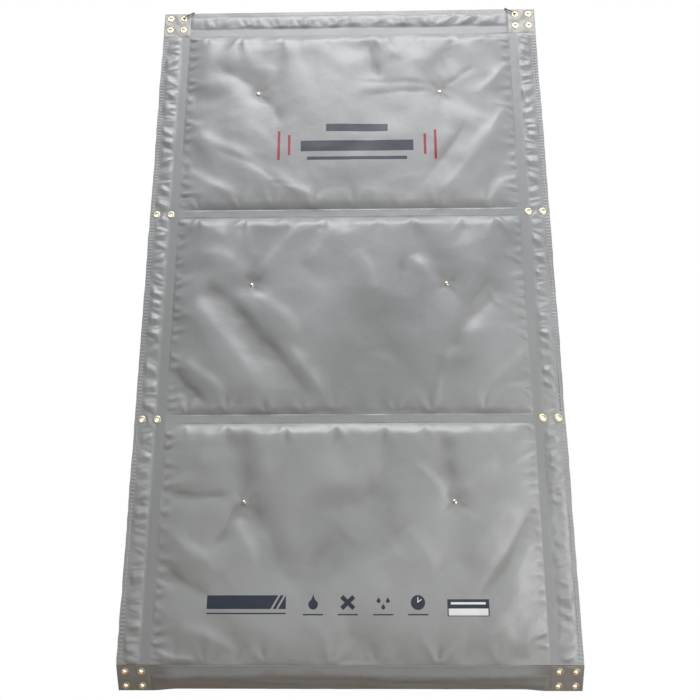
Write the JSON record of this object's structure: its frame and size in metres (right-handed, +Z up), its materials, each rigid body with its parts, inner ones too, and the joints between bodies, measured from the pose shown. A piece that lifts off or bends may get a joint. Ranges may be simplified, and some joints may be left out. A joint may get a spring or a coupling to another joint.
{
  "type": "acoustic barrier blanket",
  "caption": "Hanging noise barrier section of coated fabric: padded pockets one above the other between welded strips, with side flaps, hems, eyelets and quilting rivets.",
  "frame": {"origin": "on the flat back of the top hem, at mid-width, level with the upper eyelets, 20 mm below the top edge", "axes": "+Z up along the blanket's height, +X to the right seen from the printed front, the front faces -Y and the back +Y"},
  "size_m": [1.1996, 0.0541, 2.0594],
  "materials": {
    "coated_fabric": "grey coated fabric, semi-gloss",
    "welded_fabric": "grey coated fabric pressed flat by a weld, smoother",
    "brass": "bright rolled brass, dull and brown in the lower corners",
    "rivet_steel": "bright domed steel",
    "black_cord": "matte black"
  },
  "bodies": {
    "root": {"top_pocket": "coated_fabric", "top_pocket_left_rivet": "rivet_steel", "top_pocket_right_rivet": "rivet_steel", "middle_pocket": "coated_fabric", "middle_pocket_left_rivet": "rivet_steel", "middle_pocket_right_rivet": "rivet_steel", "bottom_pocket": "coated_fabric", "bottom_pocket_left_rivet": "rivet_steel", "bottom_pocket_right_rivet": "rivet_steel", "upper_seam_strip": "welded_fabric", "lower_seam_strip": "welded_fabric", "top_hem": "coated_fabric", "bottom_hem": "coated_fabric", "left_flap": "coated_fabric", "left_upper_seam_outer_eyelet": "brass", "left_upper_seam_inner_eyelet": "brass", "left_lower_seam_outer_eyelet": "brass", "left_lower_seam_inner_eyelet": "brass", "top_left_corner": "welded_fabric", "top_left_outer_high_eyelet": "brass", "top_left_inner_high_eyelet": "brass", "top_left_outer_low_eyelet": "brass", "top_left_inner_low_eyelet": "brass", "bottom_left_corner": "welded_fabric", "bottom_left_outer_high_eyelet": "brass", "bottom_left_inner_high_eyelet": "brass", "bottom_left_outer_low_eyelet": "brass", "bottom_left_inner_low_eyelet": "brass", "left_hanging_tie": "black_cord", "right_flap": "coated_fabric", "right_upper_seam_outer_eyelet": "brass", "right_upper_seam_inner_eyelet": "brass", "right_lower_seam_outer_eyelet": "brass", "right_lower_seam_inner_eyelet": "brass", "top_right_corner": "welded_fabric", "top_right_outer_high_eyelet": "brass", "top_right_inner_high_eyelet": "brass", "top_right_outer_low_eyelet": "brass", "top_right_inner_low_eyelet": "brass", "bottom_right_corner": "welded_fabric", "bottom_right_outer_high_eyelet": "brass", "bottom_right_inner_high_eyelet": "brass", "bottom_right_outer_low_eyelet": "brass", "bottom_right_inner_low_eyelet": "brass", "right_hanging_tie": "black_cord"}
  },
  "joints": []
}
